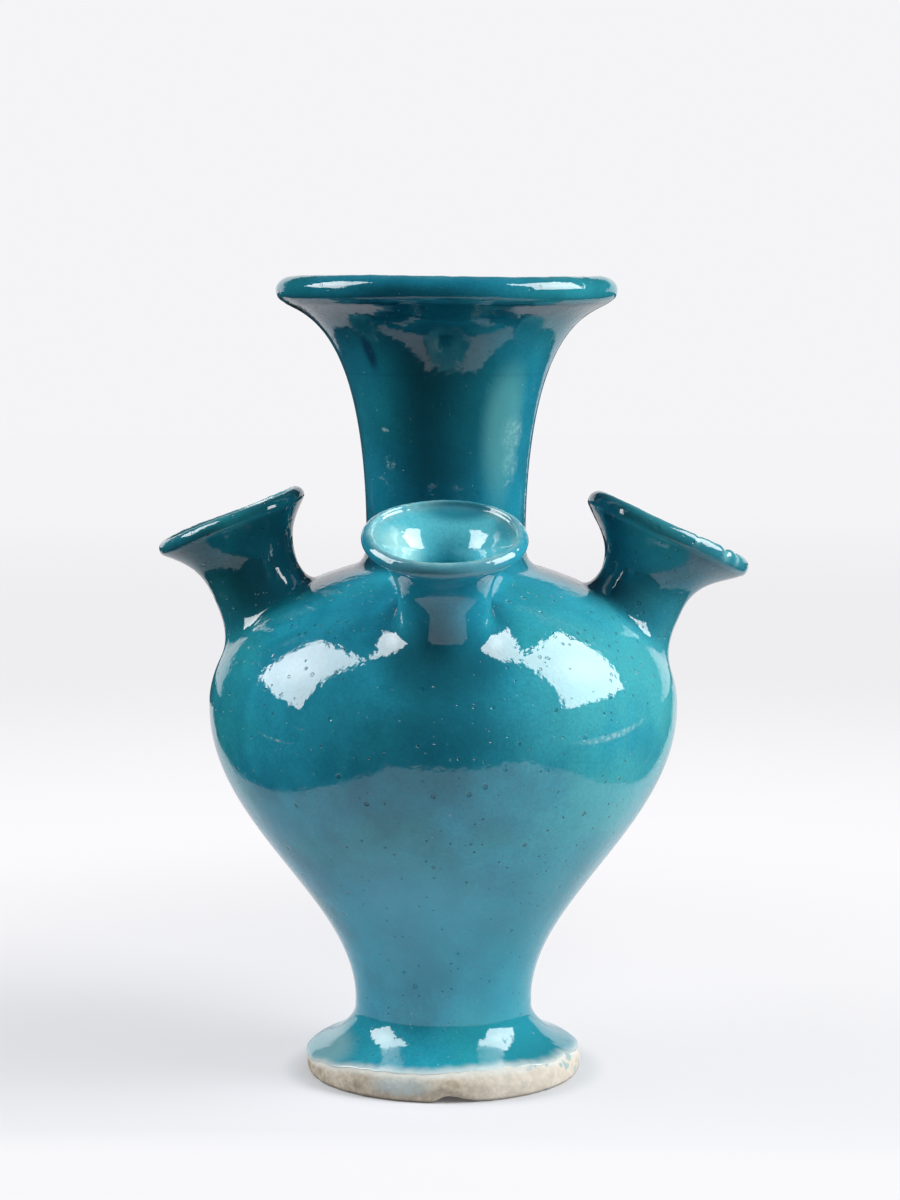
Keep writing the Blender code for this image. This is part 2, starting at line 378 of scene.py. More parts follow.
def trumpet_rows(form):
    """Closed section of a trumpet: up its outside, over the lip and down its bowl and bore."""
    rim, top, bore = form.mouth_radius, form.length, form.tube_radius - form.wall
    under = Vector((rim - form.lip_tuck * form.lip_width, top - form.lip_height))
    nose = Vector((rim, top - LIP_NOSE * form.lip_height))
    crest = Vector((rim - LIP_CREST * form.lip_width, top))
    inner = Vector((rim - form.lip_width, top - LIP_DIP * form.lip_height))
    flare_rise = form.flare_share * (under.y - form.straight)
    outside = bend((form.tube_radius, form.straight),
                   (form.tube_radius, form.straight + flare_rise),
                   under - form.flare_lead * heading(form.flare_slope), under, FLARE_STEPS)
    cheek_lead = CHEEK_FULLNESS * (nose - under).length
    cheek = bend(under, under + cheek_lead * heading(form.flare_slope - form.lip_kink),
                 nose - Vector((0, cheek_lead)), nose, LIP_STEPS)
    crown = bend(nose, nose + Vector((0, CROWN_FULLNESS * LIP_NOSE * form.lip_height)),
                 crest + Vector((CROWN_FULLNESS * LIP_CREST * form.lip_width, 0)), crest,
                 LIP_STEPS)
    fall = -heading(form.bowl_slope)
    over_lead = OVER_FULLNESS * (crest - inner).length
    over = bend(crest, crest - Vector((over_lead, 0)), inner - over_lead * fall, inner, OVER_STEPS)
    throat = (bore, form.throat)
    throat_lead = (bore, form.throat + form.throat_lead)
    bowl = bend(inner, inner + form.bowl_lead * fall, throat_lead, throat, BOWL_STEPS)
    rows = rows_of([(form.tube_radius, 0)])
    # Painted shade: the outside darkens towards the underside of the lip.
    for step, point in enumerate(outside[:-1]):
        rows.append(Row(*point, pool=form.pool * ease(*UNDER_LIP_SHADE_RANGE, step / len(outside))))
    rows.append(Row(*under, thin=UNDER_WORN * form.worn, pool=UNDER_LIP_SHADE * form.pool))
    for step, point in enumerate(cheek[1:], 1):
        rows.append(Row(*point, thin=form.worn * max(0, UNDER_WORN - UNDER_WORN_FADE * step)))
    for step, point in enumerate(crown[1:], 1):
        rows.append(Row(*point, thin=form.worn * ease(CROWN_WORN_FROM, 1.0, step / len(crown))))
    rows += rows_of(over[1:], thin=form.worn, inside=0.5)
    for point in bowl[1:]:
        gone = math.hypot(point[0] - inner.x, point[1] - inner.y)
        kept = 1 - ease(0, BOWL_WORN * form.lip_width, gone)
        rows.append(Row(*point, thin=form.worn * kept, inside=1.0))
    return rows + rows_of([(bore, 0)], inside=1.0)


def seat_on_dome(shape, placement, below=math.inf):
    """Lower the part of a form under a height so that it follows the dome, and put it in place."""
    for corner in shape.verts:
        if corner.co.z < below:
            corner.co.z += dome_drop(placement, corner.co.x, corner.co.y)
    bmesh.ops.transform(shape, matrix=placement, verts=shape.verts)


def make_cove(name, radius, cove, placement, segments, material):
    """Slip in the corner between a tube and the dome, feathered out on both."""
    hollow = bend((radius, cove.rise), (radius, cove.rise * COVE_HOLLOW),
                  (radius + cove.spread * COVE_HOLLOW, 0), (radius + cove.spread, 0), COVE_STEPS)
    rows = [Row(*hollow[0], join=1.0, edge=TOP_EDGE)]
    # The slip darkens towards its middle: pooled glaze and painted shade in the crevice.
    for step, point in enumerate(hollow[1:-1], 1):
        share = step / (len(hollow) - 1)
        rows.append(Row(*point, pool=math.sin(math.pi * share),
                        join=1 - ease(0, COVE_JOIN, share)))
    rows += [Row(*hollow[-1], edge=TOE_EDGE), Row(radius, 0)]
    shape = turned(rows, segments)
    pool = shape.verts.layers.float["pool"]
    for corner in shape.verts:
        reach = side_reach(corner.co)
        downhill = (0.5 + 0.5 * corner.co.x / reach) ** COVE_DOWNHILL
        grow = 1 + (cove.low_side - 1) * downhill
        stretch = (radius + (reach - radius) * grow) / reach
        corner.co = (corner.co.x * stretch, corner.co.y * stretch, corner.co.z * grow)
        # Less of that darkening on the downhill side.
        corner[pool] *= 1 - COVE_LESS_SHADE_DOWNHILL * downhill
    seat_on_dome(shape, placement)
    axis = placement.to_3x3() @ Vector((0, 0, 1))
    base = placement.translation

    def run_on(place, edge):
        if edge == TOE_EDGE:
            return dome_facing(place)
        out = place - base
        return (out - axis * out.dot(axis)).normalized()

    finished(name, shape, material, run_on)


def make_trumpet(name, form, placement, segments, stray, chips, material):
    """A neck or spout, its rim a little out of round and chipped, trimmed to the dome."""
    shape = turned(trumpet_rows(form), segments)
    thin = shape.verts.layers.float["thin"]
    for corner in shape.verts:
        turn = math.atan2(corner.co.y, corner.co.x)
        share = ease(form.straight, form.length, corner.co.z)
        lip = ease(form.length - form.lip_height, form.length, corner.co.z)
        round_rim = Vector((math.cos(turn), math.sin(turn), stray.phase))
        wobble = sum(noise.noise(round_rim * fineness) for fineness in WOBBLE_FINENESS)
        corner.co.z += share * stray.lift * math.sin(LIFT_WAVES * turn + 2 * stray.phase)
        corner.co.z += lip * LIP_WOBBLE * wobble
        sway = share * stray.sway * math.sin(SWAY_WAVES * turn + stray.phase)
        corner.co.x *= 1 + sway / form.mouth_radius
        corner.co.y *= 1 + sway / form.mouth_radius
        for chip in chips:
            away = math.remainder(turn - chip.bearing, math.tau) * form.mouth_radius
            bite = lip * math.exp(-(away / chip.width) ** 2)
            corner.co.z -= chip.depth * bite
            corner[thin] = max(corner[thin], bite)
    seat_on_dome(shape, placement, WELD)
    finished(name, shape, material)


def spout_frame(spout):
    """Placement of a spout on the dome, leaning outwards by its tilt and aside by its sway."""
    seat = Vector((BODY_RADIUS * math.cos(spout.seat), 0,
                   BELLY_HEIGHT + DOME_RISE * math.sin(spout.seat)))
    return (Matrix.Rotation(spout.bearing, 4, "Z") @ Matrix.Translation(seat)
            @ Matrix.Rotation(spout.tilt, 4, "Y") @ Matrix.Rotation(spout.sway, 4, "X"))


# Where the foot's glaze ends above the bare clay. Unevenness is given as heights and finenesses.
GLAZE_END = 0.0062
GLAZE_END_RISE = 0.0026
GLAZE_END_BEARING = radians(15)
GLAZE_END_SEED = 0.3
GLAZE_END_WAVER = ((0.0009, 2.6), (0.0004, 9))
GLAZE_EDGE = 0.0004
GLAZE_BEAD = 0.00022
BEAD_ABOVE = 0.0007
BEAD_WIDTH = 0.0006
# The bare clay: how far in and up it is weathered, how rough it is, and its worn tread
BARE_SPREAD = 0.006
BARE_FROM = 0.034
BARE_TOP = 0.013
CLAY_SINK = 0.0004
CLAY_SIDE = (0.0395, 0.0415)
CLAY_ROUGH = ((0.00022, 260), (0.00012, 700))
TREAD_EDGE = (0.0385, 0.0405)
TREAD_TOP = 0.0012
TREAD_WORN = ((0.0003, 330),)
# The chip in its front edge
CHIP_PEAK = 0.0016
CHIP_LEFT = -0.0045
CHIP_RIGHT = 0.0145
CHIP_FALL = 0.7
CHIP_HEIGHT = 0.0022
CHIP_IN = (0.0345, 0.0400)
CHIP_TOP = 0.0042
CHIP_RAGGED = ((0.0006, 400),)


def uneven(place, grades):
    return sum(height * noise.noise(place * fineness) for height, fineness in grades)


def glaze_end(place):
    """Height at which the foot's glaze stops: higher in front, lower behind, and wavering."""
    reach = max(side_reach(place), WELD)
    across, along = place.x / reach, place.y / reach
    towards_front = across * math.sin(GLAZE_END_BEARING) - along * math.cos(GLAZE_END_BEARING)
    waver = uneven(Vector((across, along, GLAZE_END_SEED)), GLAZE_END_WAVER)
    return GLAZE_END + GLAZE_END_RISE * towards_front + waver


def chip_rise(across):
    """Height of the chip broken out of the foot's lower edge, across the front."""
    left = ease(CHIP_LEFT, CHIP_PEAK, across)
    right = 1 - ease(CHIP_PEAK, CHIP_RIGHT, across) ** CHIP_FALL
    return CHIP_HEIGHT * left * right


def weather_foot(shape):
    """Lay the glaze over the clay with a rolled edge, and break and pit the bare clay."""
    bare = shape.verts.layers.float.new("bare")
    for corner in shape.verts:
        place = corner.co.copy()
        reach = side_reach(place)
        if reach < BARE_FROM or place.z > BARE_TOP:
            continue
        end = glaze_end(place)
        corner[bare] = min(1, max(0, 0.5 + (end - place.z) / BARE_SPREAD))
        clay = 1 - ease(end - GLAZE_EDGE, end + GLAZE_EDGE, place.z)
        bead = GLAZE_BEAD * math.exp(-((place.z - end - BEAD_ABOVE) / BEAD_WIDTH) ** 2)
        rough = uneven(place, CLAY_ROUGH)
        shift = ease(*CLAY_SIDE, reach) * (bead + clay * (rough - CLAY_SINK))
        corner.co.x *= 1 + shift / reach
        corner.co.y *= 1 + shift / reach
        if place.y < 0:
            depth = ease(*CHIP_IN, reach) * (1 - ease(0, CHIP_TOP, place.z))
            corner.co.z += depth * chip_rise(place.x + uneven(place, CHIP_RAGGED))
        tread = ease(*TREAD_EDGE, reach) * (1 - ease(0, TREAD_TOP, place.z))
        corner.co.z += tread * max(0, uneven(place, TREAD_WORN))


def stepped(point, length, way):
    return (point[0] + length * way[0], point[1] + length * way[1])


WAIST_DOWN = (math.sin(WAIST_SPLAY), -math.cos(WAIST_SPLAY))
FOOT_TOP_DOWN = (math.cos(FOOT_TOP_SLOPE), -math.sin(FOOT_TOP_SLOPE))


def make_foot(material):
    top = WAIST_HEIGHT - HALF_JOINT
    bore = WAIST_RADIUS - BODY_WALL
    waist = (waist_reach(top), top)
    crest = (FOOT_TOP_RADIUS, FOOT_TOP_HEIGHT)
    edge = (FOOT_RADIUS, FOOT_EDGE_HEIGHT)
    tread = (FOOT_RADIUS - FOOT_UNDERCUT, 0)
    fillet_end = (bore - FLOOR_FILLET, FLOOR_THICKNESS)
    fillet_corner = (bore, FLOOR_THICKNESS)
    fillet_top = (bore, FLOOR_THICKNESS + FLOOR_FILLET)
    fillet = bend(fillet_end, fillet_corner, fillet_corner, fillet_top, FILLET_STEPS)
    cove = bend(waist, stepped(waist, FOOT_COVE_TOP, WAIST_DOWN),
                stepped(crest, -FOOT_COVE_OUT, FOOT_TOP_DOWN), crest, WAIST_STEPS)
    cushion = bend(crest, stepped(crest, FOOT_CUSHION, FOOT_TOP_DOWN),
                   (edge[0], edge[1] + FOOT_CUSHION), edge, CUSHION_STEPS)
    heel = bend(edge, (edge[0], edge[1] / 2), (tread[0] + FOOT_UNDERCUT / 2, 0), tread, HEEL_STEPS)
    rows = (rows_of([(0, FLOOR_THICKNESS)] + fillet + [(bore, top)], inside=1.0)
            + edged(cove + cushion[1:] + heel[1:], TOP_EDGE)
            + rows_of([(radius, 0) for radius in UNDERSIDE_RINGS]))
    shape = turned(rows, FOOT_SEGMENTS)
    weather_foot(shape)
    finished("foot", shape, material, lambda place, edge: waist_facing(place))


def stem_curve(inset, steps):
    """The lower body's face, from belly to waist, moved inwards by inset."""
    belly = (BODY_RADIUS - inset, BELLY_HEIGHT - HALF_JOINT)
    bottom = WAIST_HEIGHT + HALF_JOINT
    waist = (waist_reach(bottom) - inset, bottom)
    return bend(belly, (belly[0], belly[1] - BELLY_FULLNESS),
                stepped(waist, -STEM_FULLNESS, WAIST_DOWN), waist, steps)


def make_lower_body(material):
    inside = stem_curve(BODY_WALL, INSIDE_STEPS)
    rows = (edged(stem_curve(0, BODY_STEPS), TOP_EDGE, TOE_EDGE)
            + rows_of(inside[::-1], inside=1.0))
    finished("lower_body", turned(rows, BODY_SEGMENTS), material,
             lambda place, edge: waist_facing(place) if edge == TOE_EDGE else side_facing(place))


def dome_curve(inset, lowest, narrowest, steps):
    """The shoulder's face, from its lower edge up to a radius, moved inwards by inset."""
    across, rise = BODY_RADIUS - inset, DOME_RISE - inset
    start = math.asin(lowest / rise)
    turn = math.acos(narrowest / across) - start
    angles = [start + turn * step / (steps - 1) for step in range(steps)]
    return [(across * math.cos(angle), BELLY_HEIGHT + rise * math.sin(angle)) for angle in angles]


def bore_cutter(spout):
    """A plug as wide as a spout's bore, to cut its opening in the shoulder."""
    radius = spout.trumpet.tube_radius - spout.trumpet.wall
    shape = turned(rows_of([(0, -BORE_CUT), (radius, -BORE_CUT), (radius, BORE_CUT),
                            (0, BORE_CUT)]), SPOUT_SEGMENTS)
    bmesh.ops.transform(shape, matrix=spout_frame(spout), verts=shape.verts)
    return put("bore_cutter", mesh_of("bore_cutter", shape))


def make_shoulder(material):
    bore = NECK_RADIUS - NECK.wall
    inside = dome_curve(BODY_WALL, HALF_JOINT, bore, INSIDE_STEPS)
    rows = (edged(dome_curve(0, HALF_JOINT, bore, DOME_STEPS), TOE_EDGE)
            + rows_of(inside[::-1], inside=1.0))
    piece = finished("shoulder", turned(rows, BODY_SEGMENTS), material)
    cutters = [bore_cutter(spout) for spout in SPOUTS]
    for cutter in cutters:
        cut = piece.modifiers.new("bore", "BOOLEAN")
        cut.operation = "DIFFERENCE"
        cut.solver = "EXACT"
        cut.object = cutter
    bpy.context.view_layer.update()
    evaluated = piece.evaluated_get(bpy.context.evaluated_depsgraph_get())
    bored = bpy.data.meshes.new_from_object(evaluated)
    piece.modifiers.clear()
    plain = piece.data
    piece.data = bored
    bored.name = "shoulder"
    bpy.data.meshes.remove(plain)
    for cutter in cutters:
        bpy.data.objects.remove(cutter)
    edge_top = BELLY_HEIGHT + HALF_JOINT + WELD
    edge_inside = BODY_RADIUS - BODY_WALL / 2
    facing = []
    for corner in bored.vertices:
        on_edge = corner.co.z < edge_top and side_reach(corner.co) > edge_inside
        facing.append(dome_facing(corner.co) if on_edge else AS_SHADED)
    bored.normals_split_custom_set_from_vertices(facing)


def make_band(name, outside, material, run_on):
    """A layer of slip between two plain edges of the body wall, flush with both."""
    inside = [(radius - BODY_WALL, height) for radius, height in outside]
    rows = edged(outside, TOE_EDGE, TOP_EDGE) + rows_of(inside[::-1], inside=1.0)
    finished(name, turned(rows, BODY_SEGMENTS), material, run_on)


# ---------------------------------------------------------------- materials

def rgba(red, green, blue):
    return (red, green, blue, 1.0)


class Glaze(NamedTuple):
    """Colours of a glaze: thick, usual, light as a painted sheen on its lit side, worn thin, and on
    the inside.
    """
    deep: tuple
    middle: tuple
    light: tuple
    pale: tuple
    within: tuple


# The first of these colours is a painted sheen, laid on the lit right side of a glaze.
LIT_SIDE_SHEEN, PALE, WITHIN = rgba(0.070, 0.45, 0.505), rgba(0.30, 0.60, 0.63), rgba(0.05, 0.36, 0.44)
BODY_GLAZE = Glaze(rgba(0.013, 0.25, 0.37), rgba(0.030, 0.43, 0.60), LIT_SIDE_SHEEN, PALE, WITHIN)
NECK_GLAZE = Glaze(rgba(0.007, 0.165, 0.255), rgba(0.016, 0.275, 0.40), rgba(0.04, 0.33, 0.38),
                   PALE, WITHIN)
# The spouts' glaze is a darker copy of the body's: painted shade for the side and back spouts
# beside the neck.
SHADED_SPOUT_GLAZE = Glaze(rgba(0.011, 0.16, 0.23), rgba(0.022, 0.26, 0.36), rgba(0.05, 0.30, 0.37),
                    PALE, rgba(0.12, 0.50, 0.60))
FRONT_GLAZE = Glaze(rgba(0.016, 0.28, 0.41), rgba(0.032, 0.42, 0.60), LIT_SIDE_SHEEN, PALE,
                    rgba(0.115, 0.56, 0.67))
FOOT_GLAZE = Glaze(rgba(0.014, 0.25, 0.35), rgba(0.034, 0.39, 0.50), rgba(0.045, 0.36, 0.43),
                   PALE, WITHIN)
BLACK = rgba(0, 0, 0)
GREENER = rgba(0.95, 1.0, 0.88)
# Tint of pooled glaze and of painted shade
POOL_AND_SHADE_TINT = rgba(0.35, 0.38, 0.42)
# Painted shade in the pinholes
PIT_SHADE = rgba(0.006, 0.045, 0.06)
GLAZE_IOR = 1.62
GLAZE_ROUGHNESS = 0.04
MILLIMETRE = 0.001

# Swell, ripples, dimples and orange peel: how fine, how detailed, and how high in millimetres
SKIN_WAVES = ((42, 1, 0.34), (170, 2, 0.10), (520, 2, 0.058), (900, 1, 0.004))
PINHOLE_FINENESS = 420.0
POCK_FINENESS = 215.0
PIT_DEPTH = 0.22

# The bare clay of the foot, from its colour to the white line where the glaze ends
DARK_BUFF = rgba(0.49, 0.415, 0.31)
PALE_BUFF = rgba(0.69, 0.605, 0.485)
CLAY_STAIN = rgba(0.27, 0.205, 0.135)
PALE_CLAY = rgba(0.75, 0.715, 0.64)
GREY_SLIP = rgba(0.70, 0.70, 0.65)
BLUE_STAIN = rgba(0.13, 0.36, 0.42)
GLAZE_LINE = rgba(0.66, 0.74, 0.73)
CLAY_TO_RIGHT = (0.002, 0.018)
CLAY_ROUGHNESS = 0.8
GRIT = 0.16


class Mark(NamedTuple):
    """A mark on the glaze, with its middle, half lengths and turns, its bend and how broken."""
    colour: tuple
    strength: float
    centre: tuple
    size: tuple
    turn: tuple = (0, 0, 0)
    bend: float = 0.0
    broken: float = 0.0


# Pale marks: scuffs and thin glaze, and painted reflections on the neck's right side and the front
# spout's lip
SCUFF_AND_REFLECTION = rgba(0.40, 0.66, 0.68)
FAINT_SCUFF = rgba(0.14, 0.47, 0.52)
PALE_GREEN = rgba(0.43, 0.80, 0.79)
DULL_TEAL = rgba(0.016, 0.26, 0.345)
GREEN_WASH = rgba(0.04, 0.32, 0.34)
CLEAR_BLUE = rgba(0.030, 0.43, 0.585)
# Dark teal for painted shade, and for a faint ring round the neck
PAINTED_SHADE_AND_RING = rgba(0.006, 0.10, 0.14)
# Deeper painted shade on the left spout
DEEP_PAINTED_SHADE = rgba(0.005, 0.055, 0.078)
# Painted shade inside the front spout's bowl
BOWL_PAINTED_SHADE = rgba(0.012, 0.20, 0.29)
BLUE_DRIP = rgba(0.006, 0.09, 0.17)
# Painted reflection on the neck's right side
PAINTED_REFLECTION_BAND = rgba(0.125, 0.42, 0.43)
BLUE_WHITE = rgba(0.54, 0.68, 0.70)
BODY_MARKS = (
    Mark(SCUFF_AND_REFLECTION, 0.7, (0.0505, -0.0530, 0.1145), (0.0200, 0.006, 0.0014),
         turn=(0, -0.13, 0.77), bend=-1.8, broken=0.75),
    Mark(SCUFF_AND_REFLECTION, 0.8, (-0.0497, -0.0537, 0.1135), (0.0090, 0.006, 0.0006),
         turn=(0, 0.13, -0.75), bend=-1.5, broken=0.9),
    Mark(SCUFF_AND_REFLECTION, 0.5, (-0.0420, -0.0600, 0.1178), (0.0035, 0.006, 0.0005),
         turn=(0, 0.10, -0.62), bend=-1.0, broken=0.9),
    Mark(FAINT_SCUFF, 0.4, (0.034, -0.047, 0.1475), (0.013, 0.012, 0.0024),
         turn=(0, 0.35, 0.3), bend=-0.8, broken=0.8),
    Mark(FAINT_SCUFF, 0.35, (0.027, -0.046, 0.1510), (0.010, 0.012, 0.0016),
         turn=(0, 0.2, 0.3), bend=0.6, broken=0.8),
    Mark(FAINT_SCUFF, 0.4, (-0.047, -0.034, 0.1485), (0.012, 0.012, 0.0022),
         turn=(0, -0.3, -0.5), bend=-0.8, broken=0.8),
    # Painted shade below the front spout.
    Mark(PAINTED_SHADE_AND_RING, 0.35, (0.001, -0.068, 0.122), (0.024, 0.040, 0.034)),
    Mark(PAINTED_SHADE_AND_RING, 0.5, (0.000, -0.068, 0.139), (0.024, 0.020, 0.015)),
    Mark(DULL_TEAL, 0.65, (0.034, -0.022, 0.042), (0.044, 0.060, 0.058)),
    Mark(CLEAR_BLUE, 0.5, (-0.014, -0.045, 0.052), (0.036, 0.050, 0.045)),
)
NECK_MARKS = (
    # Painted shade on the neck's front, between its lit sides.
    Mark(PAINTED_SHADE_AND_RING, 0.68, (0.002, -0.032, 0.212), (0.0225, 0.030, 0.060)),
    Mark(SCUFF_AND_REFLECTION, 0.9, (-0.0180, -0.0209, 0.2032), (0.0026, 0.004, 0.0012),
         turn=(0, 0.5, -0.71), broken=1.0),
    Mark(SCUFF_AND_REFLECTION, 0.8, (-0.0165, -0.0201, 0.1934), (0.0030, 0.004, 0.0026),
         turn=(0, -0.4, -0.71), broken=1.0),
    # On the neck's right side: scuffs that also stand for a painted reflection, and a band of
    # painted reflection.
    Mark(SCUFF_AND_REFLECTION, 0.65, (0.0210, -0.0180, 0.2020), (0.0062, 0.006, 0.0075),
         turn=(0, 0, 0.86), broken=0.7),
    Mark(SCUFF_AND_REFLECTION, 0.45, (0.0203, -0.0168, 0.1930), (0.0048, 0.006, 0.0055),
         turn=(0, 0, 0.86), broken=0.7),
    Mark(PAINTED_REFLECTION_BAND, 0.6, (0.0185, -0.0215, 0.2050), (0.0100, 0.010, 0.0330), turn=(0, 0, 0.71)),
    Mark(BLUE_DRIP, 0.95, (-0.0232, -0.0262, 0.2262), (0.0032, 0.007, 0.0090),
         turn=(0, 0.03, -0.84)),
    Mark(PAINTED_SHADE_AND_RING, 0.2, (0, 0, 0.2203), (0.060, 0.060, 0.0008)),
)
SPOUT_MARKS = (
    # Painted shade on the side spouts where they face the neck.
    Mark(PAINTED_SHADE_AND_RING, 0.72, (-0.050, -0.010, 0.168), (0.020, 0.026, 0.030)),
    Mark(DEEP_PAINTED_SHADE, 0.6, (-0.055, -0.016, 0.167), (0.014, 0.022, 0.022)),
    Mark(PAINTED_SHADE_AND_RING, 0.3, (0.048, -0.010, 0.168), (0.015, 0.024, 0.028)),
    Mark(GREEN_WASH, 0.5, (0.066, -0.016, 0.172), (0.014, 0.016, 0.012), turn=(0, 0.5, 0)),
)
FRONT_MARKS = (
    # A painted reflection that lightens the front spout's lip.
    Mark(SCUFF_AND_REFLECTION, 0.22, (0, -0.0870, 0.1685), (0.030, 0.012, 0.006)),
    Mark(PALE_GREEN, 0.8, (-0.0120, -0.0625, 0.1700), (0.0110, 0.015, 0.012)),
    # Painted shade on the bowl's far wall under the rim, and on its right.
    Mark(BOWL_PAINTED_SHADE, 0.85, (0.0065, -0.0460, 0.1812), (0.0175, 0.010, 0.0056)),
    Mark(BOWL_PAINTED_SHADE, 0.55, (0.0190, -0.0580, 0.1765), (0.0060, 0.012, 0.0065)),
)
FOOT_MARKS = (
    Mark(SCUFF_AND_REFLECTION, 0.55, (-0.037, -0.012, 0.010), (0.014, 0.024, 0.008)),
    Mark(DULL_TEAL, 0.65, (0.034, -0.022, 0.020), (0.044, 0.060, 0.052)),
)
CLAY_MARKS = (
    Mark(BLUE_WHITE, 0.8, (-0.0135, -0.0415, 0.0050), (0.0135, 0.012, 0.0042), broken=0.35),
)


class Shared(NamedTuple):
    """The node groups that all glazes share."""
    tone: bpy.types.NodeTree
    skin: bpy.types.NodeTree
    mark: bpy.types.NodeTree


def add(tree, kind, links=None, **settings):
    """A node with its settings, and its inputs linked or set."""
    made = tree.nodes.new(kind)
    for key, value in settings.items():
        setattr(made, key, value)
    for key, value in (links or {}).items():
        socket = made.inputs[key]
        if isinstance(value, bpy.types.NodeSocket):
            tree.links.new(value, socket)
        else:
            socket.default_value = value
    return made


def tree_of(*values):
    """The node tree of the first socket among some values."""
    return next(value.id_data for value in values if isinstance(value, bpy.types.NodeSocket))


def sums(operation, first, second=0.5, third=0.5):
    return add(tree_of(first, second, third), "ShaderNodeMath",
               {0: first, 1: second, 2: third}, operation=operation).outputs[0]


def times(first, second):
    return sums("MULTIPLY", first, second)


def blend(share, first, second, way="MIX"):
    """A colour between two colours."""
    return add(tree_of(share, first, second), "ShaderNodeMix",
               {0: share, 6: first, 7: second}, data_type="RGBA", blend_type=way).outputs[2]


def ramp(value, low, high, to_low=0.0, to_high=1.0):
    """A smooth step from one value to another while a third goes from low to high."""
    return add(tree_of(value), "ShaderNodeMapRange",
               {"Value": value, "From Min": low, "From Max": high,
                "To Min": to_low, "To Max": to_high},
               interpolation_type="SMOOTHSTEP").outputs[0]


def place_of(tree):
    return add(tree, "ShaderNodeTexCoord").outputs["Object"]


def parts_of(place):
    return add(tree_of(place), "ShaderNodeSeparateXYZ", {0: place}).outputs


def laid_on(tree, name):
    """A value that the piece carries at each corner."""
    return add(tree, "ShaderNodeAttribute", attribute_name=name).outputs["Fac"]


def cloud(place, scale, detail=2.0, roughness=0.5):
    return add(tree_of(place), "ShaderNodeTexNoise",
               {"Vector": place, "Scale": scale, "Detail": detail,
                "Roughness": roughness}).outputs[0]


def new_group(name, inputs, outputs):
    """A node group, what it is given and what it makes."""
    group = bpy.data.node_groups.new(name, "ShaderNodeTree")
    for socket, kind, value in inputs:
        made = group.interface.new_socket(socket, in_out="INPUT", socket_type=kind)
        made.default_value = value
    for socket, kind in outputs:
        group.interface.new_socket(socket, in_out="OUTPUT", socket_type=kind)
    given = group.nodes.new("NodeGroupInput").outputs
    return group, given, group.nodes.new("NodeGroupOutput").inputs


def glaze_tone():
    """Colour of the glaze by how thick it lies: deep where it pools, pale where it is thin, with
    painted shade and sheen.
    """
    colours = ("Deep", "Middle", "Light", "Pale", "Within")
    amounts = ("Thin", "Inside", "Pool", "Pits")
    group, given, made = new_group(
        "glaze_tone",
        [(name, "NodeSocketColor", BLACK) for name in colours]
        + [(name, "NodeSocketFloat", 0.0) for name in amounts],
        [("Colour", "NodeSocketColor")])
    place = place_of(group)
    broad = ramp(cloud(place, 16, 3), 0.35, 0.68)
    runs = add(group, "ShaderNodeMapping", {"Vector": place, "Scale": (70, 70, 9)}).outputs[0]
    streaks = ramp(cloud(runs, 1, 2), 0.4, 0.7)
    mottle = ramp(cloud(place, 62, 4, 0.65), 0.36, 0.64)
    depth = sums("MULTIPLY_ADD", streaks, 0.15, times(broad, 0.45))
    depth = sums("MULTIPLY_ADD", mottle, 0.4, depth)
    colour = blend(depth, given["Deep"], given["Middle"])
    greener = blend(1.0, colour, GREENER, "MULTIPLY")
    patches = ramp(cloud(place, 23, 2), 0.48, 0.68)
    colour = blend(patches, colour, greener)
    parts = parts_of(place)
    # Painted sheen: the lit right side, less of it up on the top, is blended towards the light
    # colour.
    lit_side = times(ramp(parts["X"], 0.0, 0.055, 0.0, 0.95),
                      ramp(parts["Z"], 0.133, 0.158, 1.0, 0.5))
    lit_side_sheen = times(lit_side, ramp(cloud(place, 34, 3, 0.6), 0.3, 0.6, 0.35, 1.0))
    colour = blend(lit_side_sheen, colour, given["Light"])
    colour = blend(given["Inside"], colour, given["Within"])
    # Darker where glaze pools and where shade is painted: under lips and in the crevices of coves.
    pooled_and_shaded = blend(1.0, given["Deep"], POOL_AND_SHADE_TINT, "MULTIPLY")
    colour = blend(times(given["Pool"], 0.8), colour, pooled_and_shaded)
    patchy = times(given["Thin"], ramp(cloud(place, 190, 3), 0.3, 0.7, 0.25, 1.0))
    colour = blend(patchy, colour, given["Pale"])
    grain = ramp(cloud(place, 1100, 2), 0.3, 0.7, 0.92, 1.07)
    colour = blend(1.0, colour, grain, "MULTIPLY")
    dots = add(group, "ShaderNodeTexVoronoi", {"Vector": place, "Scale": 190.0})
    specks = ramp(dots.outputs["Distance"], 0.03, 0.07, 0.55, 0.0)
    colour = blend(specks, colour, given["Pale"])
    # Painted shade in the pinholes: their colour is darkened.
    pit_shade = times(given["Pits"], 0.85)
    group.links.new(blend(pit_shade, colour, PIT_SHADE), made["Colour"])
    return group


def holes_in(place, fineness, channel, rarity, widest, edge, depth=1.0):
    """Round holes strewn over the glaze, more of them the lower their rarity."""
    tree = tree_of(place)
    cells = add(tree, "ShaderNodeTexVoronoi", {"Vector": place, "Scale": fineness})
    spread = add(tree, "ShaderNodeSeparateColor", {0: cells.outputs["Color"]}).outputs[channel]
    reach = ramp(spread, rarity, 1.0, 0.0, widest)
    near = sums("SUBTRACT", reach, cells.outputs["Distance"])
    return ramp(near, 0.0, edge, 0.0, depth)


